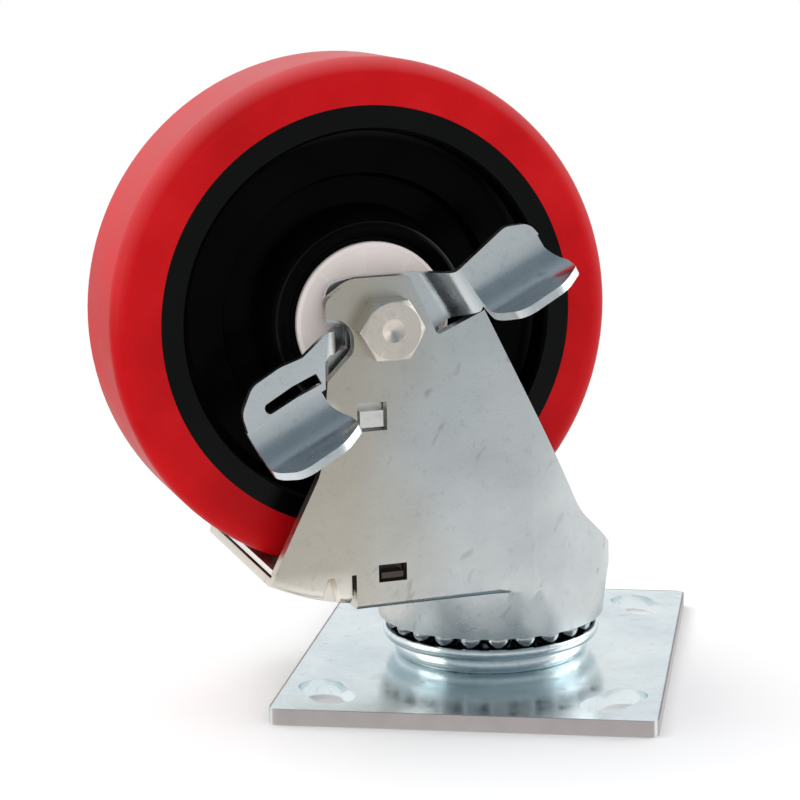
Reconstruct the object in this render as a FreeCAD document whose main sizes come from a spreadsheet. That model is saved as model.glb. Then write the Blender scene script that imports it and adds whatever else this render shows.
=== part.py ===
import FreeCAD, Part
import math
import os

import Sketcher

# Swivel castor with a side brake, standing on its mounting plate with the wheel up.
# Row frame: millimetres, +Z up, origin on the swivel axis at the plate's underside, X and Y
# along the plate's short and long sides. The fork and all it carries are turned on the swivel.

Vector = FreeCAD.Vector
Rotation = FreeCAD.Rotation
Placement = FreeCAD.Placement

UP = Vector(0, 0, 1)

# Driving sizes, in millimetres and degrees

SIZES = [
    ("plate_width", 95.25, "mounting plate along X"),
    ("plate_length", 114.3, "mounting plate along Y"),
    ("plate_thickness", 4.0, "mounting plate"),
    ("plate_corner_radius", 2.5, "plate corners"),
    ("slot_narrow_x", 33.34, "bolt place at the slot's end nearest the plate's middle line"),
    ("slot_narrow_y", 46.04, "the same, along Y"),
    ("slot_wide_x", 38.1, "bolt place at the slot's other end"),
    ("slot_wide_y", 38.1, "the same, along Y"),
    ("slot_bore", 11.1, "slot width, for 3/8 inch bolts"),
    ("swivel_angle", 27.8, "fork turned about the swivel axis"),
    ("swivel_offset", 37.0, "axle behind the swivel axis"),
    ("axle_height", 96.5, "axle above the plate's underside"),
    ("ball_diameter", 6.35, "main race balls"),
    ("ball_count", 23, "main race balls"),
    ("ball_pitch_radius", 24.6, "main race"),
    ("race_clearance", 0.25, "between a ball and its races"),
    ("race_rim_radius", 28.2, "upper bead of the plate's race ring"),
    ("race_bead_radius", 25.5, "lower bead of the plate's race ring"),
    ("race_height", 7.2, "race ring above the plate"),
    ("race_bore_radius", 18.5, "race ring's hole"),
    ("small_ball_diameter", 4.76, "upper race balls"),
    ("small_ball_count", 15, "upper race balls"),
    ("small_pitch_radius", 12.4, "upper race"),
    ("kingpin_diameter", 12.7, "swivel pin"),
    ("kingpin_head_radius", 11.0, "its countersunk head"),
    ("kingpin_bore_radius", 7.6, "fork's hole round the kingpin"),
    ("kingpin_nut_flats", 19.0, "nut across flats"),
    ("kingpin_nut_height", 7.4, "nut"),
    ("load_washer_radius", 17.0, "washer over the upper race"),
    ("load_washer_thickness", 3.0, "the same"),
    ("wheel_diameter", 127.0, "over the tread"),
    ("tread_flat", 25.0, "full-size width of the tread"),
    ("tread_bond_radius", 52.1, "where tread and core meet on the side"),
    ("core_width", 37.2, "wheel core across the rims"),
    ("core_rim_inner_radius", 46.0, "inside of the core's rim"),
    ("core_web_thickness", 22.0, "core between rim and hub"),
    ("core_groove_depth", 4.0, "groove round the hub, below the core's web"),
    ("core_lip_height", 1.5, "rounded lip of the hub boss"),
    ("core_boss_radius", 25.0, "core's hub boss"),
    ("core_boss_width", 38.2, "across the boss faces"),
    ("core_bore_radius", 12.0, "bearing seat"),
    ("core_lock_depth", 2.0, "ridge under the tread that locks it on"),
    ("guard_radius", 19.3, "thread guard"),
    ("guard_face_width", 43.2, "across the two thread guards"),
    ("guard_bore_radius", 7.1, "thread guard's hole"),
    ("guard_spigot", 2.0, "thread guard's spigot in the core"),
    ("sleeve_wall", 2.4, "bearing's outer sleeve"),
    ("roller_diameter", 2.8, "bearing rollers"),
    ("roller_length", 29.0, "bearing rollers"),
    ("roller_count", 13, "bearing rollers"),
    ("bushing_diameter", 12.7, "spanner bushing outside"),
    ("bushing_length", 44.4, "spanner bushing"),
    ("bolt_diameter", 9.525, "axle bolt"),
    ("bolt_clearance", 0.06, "axle bolt in what turns or sits on it"),
    ("bolt_head_flats", 14.3, "axle bolt head across flats"),
    ("bolt_head_height", 6.2, "axle bolt head"),
    ("bolt_tip", 1.8, "thread standing out of the nut"),
    ("nut_height", 8.4, "axle lock nut"),
    ("washer_radius", 7.6, "axle washers"),
    ("collar_radius", 8.6, "spacer collar between bushing and far leg"),
    ("inner_washer_thickness", 1.6, "between bushing and brake lever"),
    ("outer_washer_thickness", 1.8, "between brake lever and leg"),
    ("lever_play", 0.2, "brake lever between its washers"),
    ("fork_sheet", 3.0, "fork wall"),
    ("lip_radius", 29.4, "crown's lower lip"),
    ("lip_height", 14.5, "crown's lower lip above the plate's underside"),
    ("web_height", 27.0, "underside of the fork's web"),
    ("crown_pocket_radius", 26.6, "pocket over the upper race"),
    ("crown_floor", 3.2, "crown floor between the races"),
    ("cradle_gap", 3.4, "fork's curved cradle below the tread"),
    ("cradle_sheet", 1.9, "curved cradle"),
    ("cradle_bend", 2.6, "outside bend between cradle and legs"),
    ("web_bend", 1.6, "outside bend between web and legs"),
    ("gusset_depth", 1.9, "dent pressed into the cradle's bend"),
    ("slit_width", 1.2, "relief slit between web and cradle"),
    ("slit_height", 9.0, "relief slit up the leg"),
    ("upper_hole_width", 7.5, "leg's upper hole"),
    ("upper_hole_height", 7.0, "the same"),
    ("lower_hole_width", 7.2, "leg's lower hole"),
    ("lower_hole_height", 4.4, "the same"),
    ("lever_sheet", 2.0, "brake lever"),
    ("pedal_gap", 1.0, "between the leg and the pedals' flat faces"),
    ("pedal_scoop_radius", 9.4, "inside bend of each pedal"),
    ("pedal_wall", 6.6, "straight wall beyond that bend"),
    ("pedal_slit_width", 2.9, "slit in the rear pedal"),
    ("joggle_radius", 1.0, "inside bends that carry the lever's arms past the leg"),
    ("pin_radius", 1.75, "lever's pin that lifts the brake shoe"),
    ("pin_head_radius", 2.8, "its head"),
    ("pin_head_height", 0.9, "its head"),
    ("pin_x", 6.5, "pin from the axle, along X"),
    ("pin_z", -13.5, "pin from the axle, along Z"),
    ("pin_clearance", 0.25, "pin in the shoe's slot"),
    ("brake_turn", 10.0, "lever's turn that puts the brake on"),
    ("shoe_sheet", 1.2, "brake shoe"),
    ("shoe_clearance", 0.15, "shoe's arm between lever and leg"),
    ("shoe_gap", 1.8, "released brake shoe below the tread"),
    ("shoe_reach", 25.7, "shoe's far edge, turned round the axle"),
    ("cradle_reach", 26.4, "cradle's far edge, turned round the axle"),
    ("tab_clearance", 0.8, "shoe's tabs in the leg's holes"),
]

size = {name: value for name, value, note in SIZES}

doc = FreeCAD.newDocument("castor")
sheet = doc.addObject("Spreadsheet::Sheet", "Sizes")
for row, (name, value, note) in enumerate(SIZES, start=1):
    sheet.set("A%d" % row, name)
    sheet.set("B%d" % row, repr(value))
    sheet.setAlias("B%d" % row, name)
    sheet.set("C%d" % row, note)
doc.recompute()

# Places worked out from the sizes

swivel = Rotation(UP, size["swivel_angle"])
axle = swivel.multVec(Vector(-size["swivel_offset"], 0, size["axle_height"]))

# Fork frame: wheel towards -X, lever side towards -Y.
FORK_PLACE = Placement(Vector(0, 0, 0), swivel)
# Axle frame: origin at the wheel's centre, local Z along the axle towards the lever side,
# local Y up, local X as the fork's.
AXLE_PLACE = Placement(axle, swivel.multiply(Rotation(Vector(1, 0, 0), 90)))
PLATE_PLACE = Placement()

wheel_radius = size["wheel_diameter"] / 2
bolt_radius = size["bolt_diameter"] / 2
bolt_bore = bolt_radius + size["bolt_clearance"]
bushing_end = size["bushing_length"] / 2
lever_inner = bushing_end + size["inner_washer_thickness"] + size["lever_play"]
lever_outer = lever_inner + size["lever_sheet"]
leg_inner = lever_outer + size["lever_play"] + size["outer_washer_thickness"]
leg_outer = leg_inner + size["fork_sheet"]
pedal_inner = leg_outer + size["pedal_gap"]
pedal_outer = pedal_inner + size["lever_sheet"]
web_top = size["web_height"] + size["fork_sheet"]
cradle_inner = wheel_radius + size["cradle_gap"]
cradle_outer = cradle_inner + size["cradle_sheet"]
ball_radius = size["ball_diameter"] / 2
groove_radius = ball_radius + size["race_clearance"]
race_top = size["plate_thickness"] + size["race_height"]
GROOVE_DEPTH = 1.3
ball_height = race_top + groove_radius - GROOVE_DEPTH
crown_floor_low = ball_height + groove_radius - GROOVE_DEPTH
crown_floor_top = crown_floor_low + size["crown_floor"]
small_radius = size["small_ball_diameter"] / 2
small_groove = small_radius + size["race_clearance"]
SMALL_GROOVE_DEPTH = 0.9
small_height = crown_floor_top + small_groove - SMALL_GROOVE_DEPTH
washer_low = small_height + small_groove - SMALL_GROOVE_DEPTH
washer_high = washer_low + size["load_washer_thickness"]
kingpin_radius = size["kingpin_diameter"] / 2
bushing_radius = size["bushing_diameter"] / 2
sleeve_radius = size["core_bore_radius"] - size["sleeve_wall"]
sleeve_half = size["core_boss_width"] / 2 - size["guard_spigot"]
shoe_inner = wheel_radius + size["shoe_gap"]
shoe_outer = shoe_inner + size["shoe_sheet"]
arm_low = lever_outer + size["shoe_clearance"]
arm_high = arm_low + size["shoe_sheet"]
# Travel of the pin, and so of the shoe, when the lever is pressed.
turn = math.radians(size["brake_turn"])
pin_lift = size["pin_z"] * (math.cos(turn) - 1) + size["pin_x"] * math.sin(turn)
pin_shift = size["pin_x"] * (math.cos(turn) - 1) - size["pin_z"] * math.sin(turn)
FAR_PLACE = AXLE_PLACE.multiply(Placement(Vector(0, 0, 0), Rotation(Vector(1, 0, 0), 180)))
UPPER_HOLE = (-4.0, -21.6)
LOWER_HOLE = (0.4, -60.8)
SLIT_X = -8.9


# Helpers

def new_body(label, place):
    body = doc.addObject("PartDesign::Body", label)
    body.Label = label
    body.Placement = place
    return body


def origin_plane(body, role):
    for feature in body.Origin.OriginFeatures:
        if feature.Role == role:
            return feature


def new_sketch(body, name, role, offset=None):
    sketch = body.newObject("Sketcher::SketchObject", name)
    sketch.AttachmentSupport = (origin_plane(body, role), [""])
    sketch.MapMode = "FlatFace"
    if offset is not None:
        sketch.AttachmentOffset = offset
    return sketch


def raised(height):
    """Offset of a sketch along its plane's normal."""
    return Placement(Vector(0, 0, height), Rotation())


def add_polygon(sketch, points):
    """Closed outline of straight lines."""
    first = sketch.GeometryCount
    count = len(points)
    for i in range(count):
        start = Vector(*points[i], 0)
        end = Vector(*points[(i + 1) % count], 0)
        sketch.addGeometry(Part.LineSegment(start, end), False)
    for i in range(count):
        sketch.addConstraint(Sketcher.Constraint("Coincident", first + i, 2, first + (i + 1) % count, 1))


def corner_arc(before, corner, after, radius):
    """Tangent points and middle point of the arc that rounds a corner."""
    to_before = (before - corner).normalize()
    to_after = (after - corner).normalize()
    half = to_before.getAngle(to_after) / 2
    reach = radius / math.tan(half)
    bisector = (to_before + to_after).normalize()
    middle = corner + bisector * (radius / math.sin(half) - radius)
    return corner + to_before * reach, middle, corner + to_after * reach


def add_rounded(sketch, corners):
    """Closed outline through (x, y, radius) corners, each rounded by a tangent arc."""
    points = [Vector(x, y, 0) for x, y, radius in corners]
    count = len(corners)
    arcs = []
    for i in range(count):
        radius = corners[i][2]
        if radius > 0:
            arcs.append(corner_arc(points[i - 1], points[i], points[(i + 1) % count], radius))
        else:
            arcs.append((points[i], None, points[i]))
    pieces = []
    for i in range(count):
        start, middle, end = arcs[i]
        if middle is not None:
            pieces.append(Part.Arc(start, middle, end))
        following = arcs[(i + 1) % count][0]
        if end.distanceToPoint(following) > 1e-4:
            pieces.append(Part.LineSegment(end, following))
    sketch.addGeometry(pieces, False)


def add_circle(sketch, x, y, radius, formula=None):
    """Circle whose radius may follow a formula of the sheet."""
    index = sketch.addGeometry(Part.Circle(Vector(x, y, 0), UP, radius), False)
    number = sketch.addConstraint(Sketcher.Constraint("Radius", index, radius))
    if formula:
        sketch.setExpression("Constraints[%d]" % number, formula)
    return index


def pad(body, name, sketch, length, formula=None, back=False):
    feature = body.newObject("PartDesign::Pad", name)
    feature.Profile = sketch
    feature.Length = length
    feature.Reversed = back
    if formula:
        feature.setExpression("Length", formula)
    return feature


def pocket(body, name, sketch, length, back=False):
    feature = body.newObject("PartDesign::Pocket", name)
    feature.Profile = sketch
    feature.Length = length
    feature.Reversed = back
    return feature


def revolve(body, name, sketch, kind="PartDesign::Revolution"):
    feature = body.newObject(kind, name)
    feature.Profile = sketch
    feature.ReferenceAxis = (sketch, ["V_Axis"])
    feature.Angle = 360.0
    return feature


def turned_body(label, place, profile):
    """Body of revolution about its local Z from a closed (radius, height) polygon."""
    body = new_body(label, place)
    sketch = new_sketch(body, label + "_profile", "XZ_Plane")
    add_polygon(sketch, profile)
    revolve(body, label + "_turned", sketch)
    return body


def hex_corners(flats):
    radius = flats / math.sqrt(3)
    return [(radius * math.cos(math.radians(60 * k)), radius * math.sin(math.radians(60 * k))) for k in range(6)]


def arc_points(centre_x, centre_y, radius, start, end, steps):
    """Points along an arc, both ends included, angles in degrees."""
    points = []
    for i in range(steps + 1):
        angle = math.radians(start + (end - start) * i / steps)
        points.append((centre_x + radius * math.cos(angle), centre_y + radius * math.sin(angle)))
    return points


# Mounting plate with four slanted slots and a countersunk hole for the kingpin

def make_plate():
    body = new_body("top_plate", PLATE_PLACE)
    outline = new_sketch(body, "plate_outline", "XY_Plane")
    half_x = size["plate_width"] / 2
    half_y = size["plate_length"] / 2
    corner = size["plate_corner_radius"]
    add_rounded(outline, [(-half_x, -half_y, corner), (half_x, -half_y, corner),
                          (half_x, half_y, corner), (-half_x, half_y, corner)])
    pad(body, "plate_sheet", outline, size["plate_thickness"], "Sizes.plate_thickness")
    slots = new_sketch(body, "bolt_slots", "XY_Plane")
    for side_x in (-1, 1):
        for side_y in (-1, 1):
            add_slot(slots, side_x * size["slot_narrow_x"], side_y * size["slot_narrow_y"],
                     side_x * size["slot_wide_x"], side_y * size["slot_wide_y"], size["slot_bore"] / 2)
    pocket(body, "slots", slots, size["plate_thickness"], back=True)
    seat = new_sketch(body, "kingpin_seat", "XZ_Plane")
    add_polygon(seat, [(0, 0), (size["kingpin_head_radius"], 0),
                       (kingpin_radius, size["plate_thickness"]), (0, size["plate_thickness"])])
    revolve(body, "countersink", seat, "PartDesign::Groove")
    return body


def add_slot(sketch, x1, y1, x2, y2, radius):
    """Straight slot with round ends between two centres."""
    start = Vector(x1, y1, 0)
    end = Vector(x2, y2, 0)
    along = (end - start).normalize()
    across = Vector(-along.y, along.x, 0) * radius
    tip = along * radius
    sketch.addGeometry([Part.LineSegment(start + across, end + across),
                        Part.Arc(end + across, end + tip, end - across),
                        Part.LineSegment(end - across, start - across),
                        Part.Arc(start - across, start - tip, start + across)], False)


# Race ring pressed with two beads, which carries the main balls on the plate

def make_lower_race():
    low = size["plate_thickness"]
    high = race_top
    rim = size["race_rim_radius"]
    bead = size["race_bead_radius"]
    pitch = size["ball_pitch_radius"]
    waist = low + 0.55 * size["race_height"]
    half_chord = math.sqrt(groove_radius ** 2 - (ball_height - high) ** 2)
    body = new_body("lower_race", PLATE_PLACE)
    sketch = new_sketch(body, "race_section", "XZ_Plane")
    start = Vector(size["race_bore_radius"], low, 0)
    foot = Vector(bead - 1.0, low, 0)
    bead_middle = Vector(bead, (low + waist) / 2, 0)
    bead_top = Vector(bead - 0.7, waist, 0)
    rim_low = Vector(rim - 0.7, waist + 0.4, 0)
    rim_middle = Vector(rim, (waist + high) / 2 + 0.3, 0)
    rim_top = Vector(rim - 0.3, high, 0)
    groove_out = Vector(pitch + half_chord, high, 0)
    groove_mid = Vector(pitch, ball_height - groove_radius, 0)
    groove_in = Vector(pitch - half_chord, high, 0)
    inner_top = Vector(size["race_bore_radius"], high, 0)
    sketch.addGeometry([Part.LineSegment(start, foot), Part.Arc(foot, bead_middle, bead_top),
                        Part.LineSegment(bead_top, rim_low), Part.Arc(rim_low, rim_middle, rim_top),
                        Part.LineSegment(rim_top, groove_out),
                        Part.Arc(groove_out, groove_mid, groove_in),
                        Part.LineSegment(groove_in, inner_top), Part.LineSegment(inner_top, start)], False)
    revolve(body, "race_ring", sketch)
    return body


def make_balls(label, count, pitch, height, formula):
    """Ring of separate balls, as one group of solids."""
    balls = []
    for i in range(int(count)):
        angle = 2 * math.pi * i / int(count)
        ball = doc.addObject("Part::Sphere", "%s_%d" % (label, i + 1))
        ball.setExpression("Radius", formula)
        ball.Placement.Base = Vector(pitch * math.cos(angle), pitch * math.sin(angle), height)
        balls.append(ball)
    group = doc.addObject("Part::Compound", label)
    group.Label = label
    group.Links = balls
    return group


# Kingpin, load washer and nut that hold the fork on the plate

def make_kingpin():
    top = washer_high + size["kingpin_nut_height"] + size["bolt_tip"]
    return turned_body("kingpin", PLATE_PLACE, [
        (0, 0), (size["kingpin_head_radius"], 0), (kingpin_radius, size["plate_thickness"]),
        (kingpin_radius, top - 1.0), (kingpin_radius - 1.0, top), (0, top)])


def make_load_washer():
    pitch = size["small_pitch_radius"]
    half_chord = math.sqrt(small_groove ** 2 - (washer_low - small_height) ** 2)
    outer = size["load_washer_radius"]
    body = new_body("load_washer", PLATE_PLACE)
    sketch = new_sketch(body, "washer_section", "XZ_Plane")
    inner_low = Vector(kingpin_radius, washer_low, 0)
    groove_in = Vector(pitch - half_chord, washer_low, 0)
    groove_top = Vector(pitch, small_height + small_groove, 0)
    groove_out = Vector(pitch + half_chord, washer_low, 0)
    edge_low = Vector(outer, washer_low, 0)
    edge_high = Vector(outer, washer_high - 0.8, 0)
    bevel = Vector(outer - 0.8, washer_high, 0)
    inner_high = Vector(kingpin_radius, washer_high, 0)
    sketch.addGeometry([Part.LineSegment(inner_low, groove_in), Part.Arc(groove_in, groove_top, groove_out),
                        Part.LineSegment(groove_out, edge_low), Part.LineSegment(edge_low, edge_high),
                        Part.LineSegment(edge_high, bevel), Part.LineSegment(bevel, inner_high),
                        Part.LineSegment(inner_high, inner_low)], False)
    revolve(body, "washer_ring", sketch)
    return body


def hex_piece(label, place, flats, low, high, bore, formula, dimple=False):
    """Hexagon with its outer corners turned off at the high end."""
    body = new_body(label, place)
    sketch = new_sketch(body, label + "_hexagon", "XY_Plane", raised(low))
    add_polygon(sketch, hex_corners(flats))
    if bore:
        add_circle(sketch, 0, 0, bore)
    pad(body, label + "_block", sketch, high - low, formula)
    chamfer = new_sketch(body, label + "_chamfer", "XZ_Plane")
    corner = flats / math.sqrt(3)
    drop = (corner - flats / 2 + 0.3) * math.tan(math.radians(30))
    add_polygon(chamfer, [(flats / 2 - 0.3, high), (corner + 1.0, high),
                          (corner + 1.0, high - drop - math.tan(math.radians(30)))])
    revolve(body, label + "_turned_corners", chamfer, "PartDesign::Groove")
    if dimple:
        hollow = new_sketch(body, label + "_dimple", "XZ_Plane")
        add_polygon(hollow, [(0, high), (flats * 0.2, high), (0, high - flats * 0.09)])
        revolve(body, label + "_hollow", hollow, "PartDesign::Groove")
    return body


# Fork: one pressed sheet with a web, a drawn crown, two legs and a curved cradle

def leg_corners():
    """Side outline of a leg in the fork's X and Z, each corner with its rounding radius."""
    x0 = -size["swivel_offset"]
    z0 = size["axle_height"]
    flange = cradle_outer - size["cradle_bend"]
    return [(x0 - 15.0, z0 + 7.3, 3.0), (x0 - 8.6, z0 + 11.8, 9.0), (x0 + 20.6, z0 + 11.8, 3.0),
            (x0 + 51.4, z0 - 51.2, 18.0), (leg_outer, web_top, 2.0),
            (leg_outer, size["web_height"], 0),
            (x0 + SLIT_X, size["web_height"], 0), (x0 + SLIT_X, z0 - flange + 0.4, 0),
            (x0 - 29.6, z0 - 58.9, 0.6), (x0 - 17.2, z0 - 34.5, 12.0),
            (x0 - 15.0, z0 - 13.0, 4.0)]


def side_edge(edge):
    """Whether an edge runs along one of the legs' outer faces."""
    first, last = edge.Vertexes[0].Y, edge.Vertexes[-1].Y
    return abs(first - last) < 0.01 and abs(abs(first) - leg_outer) < 0.01


def straight_low(edge, height):
    """Whether an edge runs straight along the web's underside."""
    return all(abs(vertex.Z - height) < 0.01 and vertex.X < 0.5 for vertex in edge.Vertexes)


def round_edges(body, name, radius, wanted, formula):
    """Fillet on the edges of the body's last feature that are wanted."""
    base = body.Tip
    names = ["Edge%d" % (i + 1) for i, edge in enumerate(base.Shape.Edges) if wanted(edge)]
    feature = body.newObject("PartDesign::Fillet", name)
    feature.Base = (base, names)
    feature.Radius = radius
    feature.setExpression("Radius", formula)
    return feature


def add_plan(sketch, half_width, back):
    front = Vector(half_width, 0, 0)
    left = Vector(0, half_width, 0)
    right = Vector(0, -half_width, 0)
    far_left = Vector(back, half_width, 0)
    far_right = Vector(back, -half_width, 0)
    sketch.addGeometry([Part.Arc(right, front, left), Part.LineSegment(left, far_left),
                        Part.LineSegment(far_left, far_right), Part.LineSegment(far_right, right)], False)


def make_fork():
    x0 = -size["swivel_offset"]
    z0 = size["axle_height"]
    back = x0 - 40.0
    tall = z0 + 20.0
    body = new_body("fork", FORK_PLACE)
    side = new_sketch(body, "leg_outline", "XZ_Plane", raised(-leg_outer))
    add_rounded(side, leg_corners())
    pad(body, "legs_block", side, 2 * leg_outer)
    # The plan outline rounds the front of the block about the swivel axis.
    trim = new_sketch(body, "front_trim", "XY_Plane")
    add_plan(trim, leg_outer, back)
    frame = leg_outer + 12.0
    add_polygon(trim, [(back - 4, -frame), (frame, -frame), (frame, frame), (back - 4, frame)])
    pocket(body, "front_round", trim, tall, back=True)
    # Inside of the fork above the web.
    inside = new_sketch(body, "inside_outline", "XY_Plane", raised(web_top))
    add_plan(inside, leg_inner, back)
    pocket(body, "inside", inside, tall, back=True)
    # Below the wheel the space between the legs is open behind the web.
    below = new_sketch(body, "open_back", "XZ_Plane", raised(-leg_inner))
    web_end = x0 + SLIT_X
    add_polygon(below, [(back, 0), (web_end, 0), (web_end, web_top + 0.1), (back, web_top + 0.1)])
    pocket(body, "behind_web", below, 2 * leg_inner, back=True)
    # Crown drawn down from the web, with both ball grooves.
    crown = new_sketch(body, "crown_section", "XZ_Plane")
    pitch = size["ball_pitch_radius"]
    lip = size["lip_height"]
    web = size["web_height"]
    rise = ball_height
    chord_lip = math.sqrt(max(groove_radius ** 2 - (lip - rise) ** 2, 0.01))
    chord_floor = math.sqrt(groove_radius ** 2 - (crown_floor_low - rise) ** 2)
    p = [Vector(size["kingpin_bore_radius"], crown_floor_low, 0),
         Vector(pitch - chord_floor, crown_floor_low, 0),
         Vector(pitch, rise + groove_radius, 0),
         Vector(pitch + chord_lip, lip, 0),
         Vector(size["lip_radius"], lip, 0),
         Vector(leg_outer, web, 0),
         Vector(leg_outer, web_top, 0),
         Vector(size["kingpin_bore_radius"], web_top, 0)]
    crown.addGeometry([Part.LineSegment(p[0], p[1]), Part.Arc(p[1], p[2], p[3]),
                       Part.LineSegment(p[3], p[4]), Part.LineSegment(p[4], p[5]),
                       Part.LineSegment(p[5], p[6]), Part.LineSegment(p[6], p[7]),
                       Part.LineSegment(p[7], p[0])], False)
    revolve(body, "crown", crown)
    hollow = new_sketch(body, "crown_pocket", "XZ_Plane")
    small_chord = math.sqrt(small_groove ** 2 - (small_height - crown_floor_top) ** 2)
    small = size["small_pitch_radius"]
    q = [Vector(0, crown_floor_top, 0), Vector(small - small_chord, crown_floor_top, 0),
         Vector(small, small_height - small_groove, 0), Vector(small + small_chord, crown_floor_top, 0),
         Vector(size["crown_pocket_radius"] - 2.0, crown_floor_top, 0),
         Vector(size["crown_pocket_radius"], crown_floor_top + 2.0, 0),
         Vector(size["crown_pocket_radius"], web_top + 5.0, 0), Vector(0, web_top + 5.0, 0)]
    hollow.addGeometry([Part.LineSegment(q[0], q[1]), Part.Arc(q[1], q[2], q[3]),
                        Part.LineSegment(q[3], q[4]), Part.LineSegment(q[4], q[5]),
                        Part.LineSegment(q[5], q[6]), Part.LineSegment(q[6], q[7]),
                        Part.LineSegment(q[7], q[0])], False)
    revolve(body, "crown_hollow", hollow, "PartDesign::Groove")
    # Curved cradle under the tread, joined to both legs.
    start = math.degrees(math.asin((size["slit_width"] - SLIT_X) / cradle_inner))
    cradle = new_sketch(body, "cradle_section", "YZ_Plane",
                        Placement(Vector(0, z0, x0), Rotation(Vector(1, 0, 0), start)))
    bend = size["cradle_bend"]
    flange = cradle_outer - bend - 2.4
    add_rounded(cradle, [(-leg_outer, -flange, 0), (-leg_outer, -cradle_outer, bend),
                         (leg_outer, -cradle_outer, bend), (leg_outer, -flange, 0), (leg_inner, -flange, 0),
                         (leg_inner, -cradle_inner, 0), (-leg_inner, -cradle_inner, 0), (-leg_inner, -flange, 0)])
    turned = body.newObject("PartDesign::Revolution", "cradle")
    turned.Profile = cradle
    turned.ReferenceAxis = (cradle, ["H_Axis"])
    turned.Angle = size["cradle_reach"] - start
    doc.recompute()
    round_edges(body, "web_bends", size["web_bend"],
                lambda edge: side_edge(edge) and straight_low(edge, web), "Sizes.web_bend")
    # Dents pressed into the cradle's bends, which stiffen them.
    for side, label in ((-1, "far"), (1, "near")):
        dent = new_sketch(body, label + "_dent_outline", "XZ_Plane", raised(side * leg_outer))
        add_polygon(dent, [(x0 - 20.4, z0 - 72.0), (x0 - 16.2, z0 - 60.8), (x0 - 14.4, z0 - 60.8),
                           (x0 - 11.4, z0 - 72.0)])
        cut = pocket(body, label + "_dent", dent, size["gusset_depth"], back=side < 0)
        cut.TaperAngle = -32.0
        cut.setExpression("Length", "Sizes.gusset_depth")
    slit = new_sketch(body, "relief_slits", "XZ_Plane", raised(-leg_outer))
    add_polygon(slit, [(web_end - size["slit_width"], 0), (web_end, 0),
                       (web_end, web + size["slit_height"]),
                       (web_end - size["slit_width"], web + size["slit_height"])])
    pocket(body, "slits", slit, 2 * leg_outer, back=True)
    # Holes through both legs: axle, the brake's guide holes and the lever's notch.
    axle_holes = new_sketch(body, "axle_holes", "XZ_Plane", raised(-leg_outer))
    add_circle(axle_holes, x0, z0, bolt_bore, "Sizes.bolt_diameter / 2 + Sizes.bolt_clearance")
    pocket(body, "axle_bores", axle_holes, 2 * leg_outer, back=True)
    near = raised(leg_inner - 1.0)
    holes = new_sketch(body, "guide_holes", "XZ_Plane", near)
    add_box(holes, x0 + UPPER_HOLE[0], z0 + UPPER_HOLE[1], size["upper_hole_width"], size["upper_hole_height"])
    add_box(holes, x0 + LOWER_HOLE[0], z0 + LOWER_HOLE[1], size["lower_hole_width"], size["lower_hole_height"])
    pocket(body, "guides", holes, size["fork_sheet"] + 2.0, back=True)
    notches = new_sketch(body, "lever_notches", "XZ_Plane", near)
    add_rounded(notches, [(x0 - 22.0, z0 + 2.8, 0), (x0 - 8.1, z0 + 2.8, 5.6), (x0 - 8.1, z0 - 5.4, 3.0),
                          (x0 - 22.0, z0 - 19.5, 0)])
    add_rounded(notches, [(x0 + 5.4, z0 + 13.5, 0), (x0 + 13.1, z0 - 2.9, 1.0), (x0 + 24.8, z0 + 2.2, 0),
                          (x0 + 40.0, z0 + 13.5, 0)])
    pocket(body, "notches", notches, size["fork_sheet"] + 2.0, back=True)
    return body


def add_sector(sketch, x, y, inner, outer, start, end):
    """Ring sector between two angles in degrees."""
    def at(radius, angle):
        return Vector(x + radius * math.cos(math.radians(angle)), y + radius * math.sin(math.radians(angle)), 0)
    middle = (start + end) / 2
    sketch.addGeometry([Part.Arc(at(inner, start), at(inner, middle), at(inner, end)),
                        Part.LineSegment(at(inner, end), at(outer, end)),
                        Part.Arc(at(outer, end), at(outer, middle), at(outer, start)),
                        Part.LineSegment(at(outer, start), at(inner, start))], False)


def add_box(sketch, x, y, width, height):
    add_polygon(sketch, [(x - width / 2, y - height / 2), (x + width / 2, y - height / 2),
                         (x + width / 2, y + height / 2), (x - width / 2, y + height / 2)])


# Wheel parts, turned about the axle

def make_tread():
    half = size["core_width"] / 2
    flat = size["tread_flat"] / 2
    bond = size["tread_bond_radius"]
    lock = bond + size["core_lock_depth"]
    shoulder = half - 0.3 - flat
    bend = shoulder * math.sqrt(0.5)
    inner = wheel_radius - shoulder
    body = new_body("tread", AXLE_PLACE)
    sketch = new_sketch(body, "tread_section", "XZ_Plane")

    def corner(radius, height):
        return Vector(radius, height, 0)

    sketch.addGeometry([
        Part.LineSegment(corner(bond, half), corner(inner, flat + shoulder)),
        Part.Arc(corner(inner, flat + shoulder), corner(inner + bend, flat + bend), corner(wheel_radius, flat)),
        Part.LineSegment(corner(wheel_radius, flat), corner(wheel_radius, -flat)),
        Part.Arc(corner(wheel_radius, -flat), corner(inner + bend, -flat - bend),
                 corner(inner, -flat - shoulder)),
        Part.LineSegment(corner(inner, -flat - shoulder), corner(bond, -half))], False)
    under = [(bond, -half)] + lock_outline(bond, lock) + [(bond, half)]
    for start, end in zip(under, under[1:]):
        sketch.addGeometry(Part.LineSegment(corner(*start), corner(*end)), False)
    revolve(body, "tread_ring", sketch)
    return body


def lock_outline(bond, lock):
    """Ridge of the core that locks the tread on, from the far side to the near side."""
    half = size["core_width"] / 2
    return [(bond, -0.65 * half), (lock, -0.5 * half), (lock, 0.5 * half), (bond, 0.65 * half)]


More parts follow.
